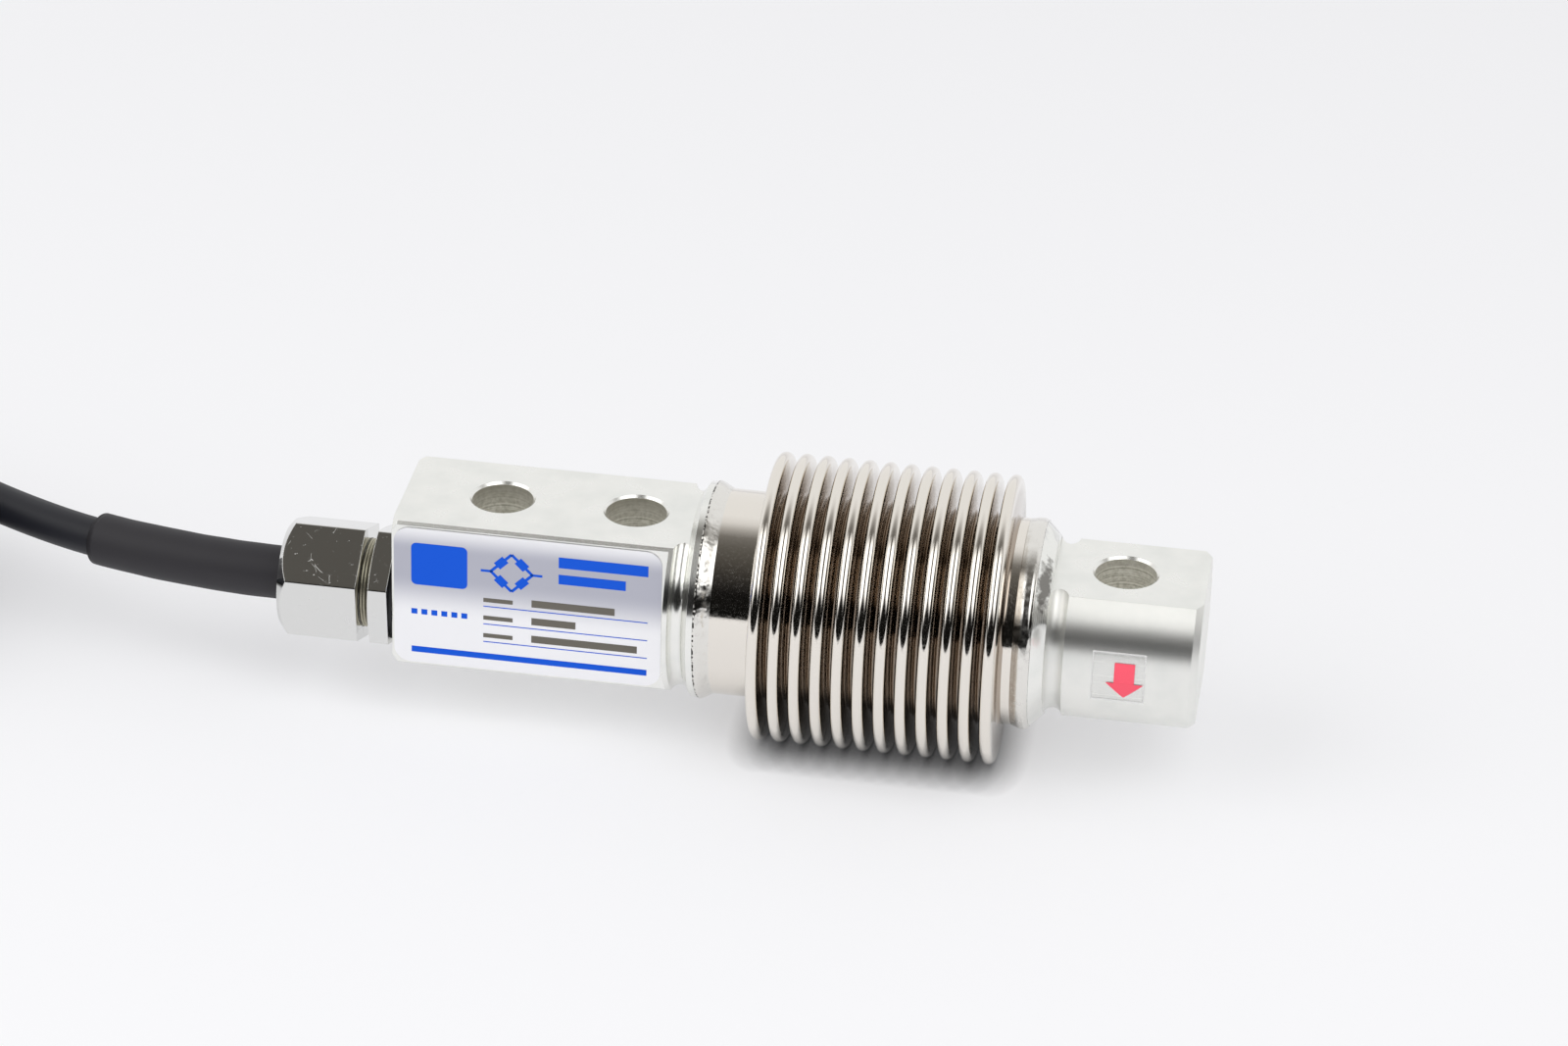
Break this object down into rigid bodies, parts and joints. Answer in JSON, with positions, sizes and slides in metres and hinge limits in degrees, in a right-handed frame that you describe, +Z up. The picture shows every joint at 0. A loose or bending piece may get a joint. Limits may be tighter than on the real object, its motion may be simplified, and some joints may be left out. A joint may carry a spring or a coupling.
{
  "type": "bellows-sealed bending beam load cell",
  "caption": "Tension and compression load cell: a square mounting block, a beam sealed in a metal bellows, a drilled round load end and a screened cable in a hexagon gland.",
  "frame": {"origin": "under the middle of the cell from gland nut to load end, on the surface that the bellows rests on", "axes": "+X along the cell's axis from the cable gland to the load end, +Z up along the mounting holes and the load"},
  "size_m": [0.3088, 0.0551, 0.0428],
  "materials": {
    "plated_body": "satin electroless nickel plate on aluminium alloy",
    "bellows_nickel": "polished nickel plate on formed thin-wall metal",
    "solder": "bright tin solder",
    "gland_plate": "bright nickel plate on brass",
    "black_rubber": "matt moulded rubber",
    "brass": "turned",
    "gauge_film": "polyimide film with etched foil",
    "board": "glass-fibre laminate",
    "resistor_ceramic": "fired ceramic",
    "red_insulation": "extruded insulation",
    "black_insulation": "extruded insulation",
    "green_insulation": "extruded insulation",
    "white_insulation": "extruded insulation",
    "casting_resin": "cast epoxy",
    "copper_wire": "enamelled copper",
    "silver_foil": "satin silver foil with blue print",
    "clear_film": "clear film",
    "cable_jacket": "extruded, semi-matt",
    "shrink_sleeve": "heat-shrunk, matt",
    "nylon": "moulded natural nylon",
    "tinned_copper": "tinned strands"
  },
  "bodies": {
    "root": {"spring_element": "plated_body", "bellows": "bellows_nickel", "fixed_end_solder_bead": "solder", "load_end_solder_bead": "solder", "gland_body": "gland_plate", "gland_nut": "gland_plate", "gland_seal": "black_rubber", "gland_washer": "brass", "gland_gasket": "black_rubber", "strain_gauge_top_fixed": "gauge_film", "strain_gauge_bottom_fixed": "gauge_film", "strain_gauge_top_load": "gauge_film", "strain_gauge_bottom_load": "gauge_film", "terminal_board": "board", "zero_balance_resistor": "resistor_ceramic", "span_trim_resistor": "resistor_ceramic", "lead_wire_red": "red_insulation", "lead_wire_black": "black_insulation", "lead_wire_green": "green_insulation", "lead_wire_white": "white_insulation", "passage_seal": "casting_resin", "gauge_leads": "copper_wire", "nameplate": "silver_foil", "arrow_label": "clear_film", "cable": "cable_jacket", "cable_sleeve": "shrink_sleeve", "cable_coil": "cable_jacket", "coil_tie": "nylon", "core_red": "red_insulation", "core_black": "black_insulation", "core_green": "green_insulation", "core_white": "white_insulation", "core_tips": "tinned_copper", "shield_drain": "tinned_copper"}
  },
  "joints": []
}
